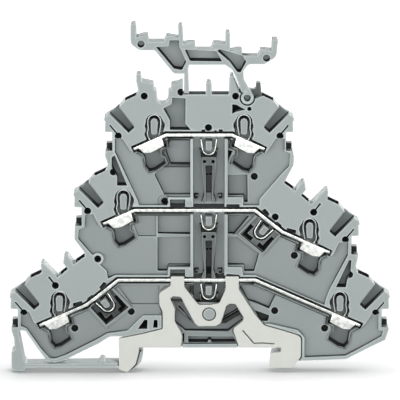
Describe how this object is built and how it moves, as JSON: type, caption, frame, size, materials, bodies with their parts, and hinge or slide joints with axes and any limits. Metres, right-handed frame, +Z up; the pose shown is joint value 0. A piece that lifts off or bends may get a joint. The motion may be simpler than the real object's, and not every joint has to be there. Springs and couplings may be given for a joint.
{
  "type": "multi-level terminal block",
  "caption": "Rail-mounted terminal block slice, open on one side, with stepped decks of push-in clamps, bus bars, a rail foot and a hinged marker carrier.",
  "frame": {"origin": "middle of the seat on the mounting rail, half way through the housing's width", "axes": "+X along the block, across the rail; +Y through the width, away from the open side; +Z up from the rail"},
  "size_m": [0.0949, 0.0052, 0.0883],
  "materials": {
    "grey_polyamide": "fine moulded satin",
    "tinned_copper": "bright tin plate",
    "spring_steel": "rolled strip",
    "matt_tin": "matt tin plate"
  },
  "bodies": {
    "block": {"housing": "grey_polyamide", "busbar_top": "tinned_copper", "busbar_middle": "tinned_copper", "busbar_bottom": "tinned_copper", "jumper_spring_top": "tinned_copper", "jumper_spring_middle": "tinned_copper", "jumper_spring_bottom": "tinned_copper", "jumper_spring_middle_right": "tinned_copper", "jumper_spring_bottom_left": "tinned_copper", "clamp_spring_top_left": "spring_steel", "clamp_spring_top_right": "spring_steel", "clamp_spring_middle_left": "spring_steel", "clamp_spring_middle_right": "spring_steel", "clamp_spring_bottom_left": "spring_steel", "clamp_spring_bottom_right": "spring_steel", "rail_foot": "matt_tin"},
    "carrier": {"marker_carrier": "grey_polyamide"}
  },
  "joints": [
    {"name": "carrier_swing", "type": "hinge", "parent": "block", "child": "carrier", "pos_m": [0.0092, 0, 0.0635], "axis": [0, 1, 0], "range_deg": [0, 50]}
  ]
}
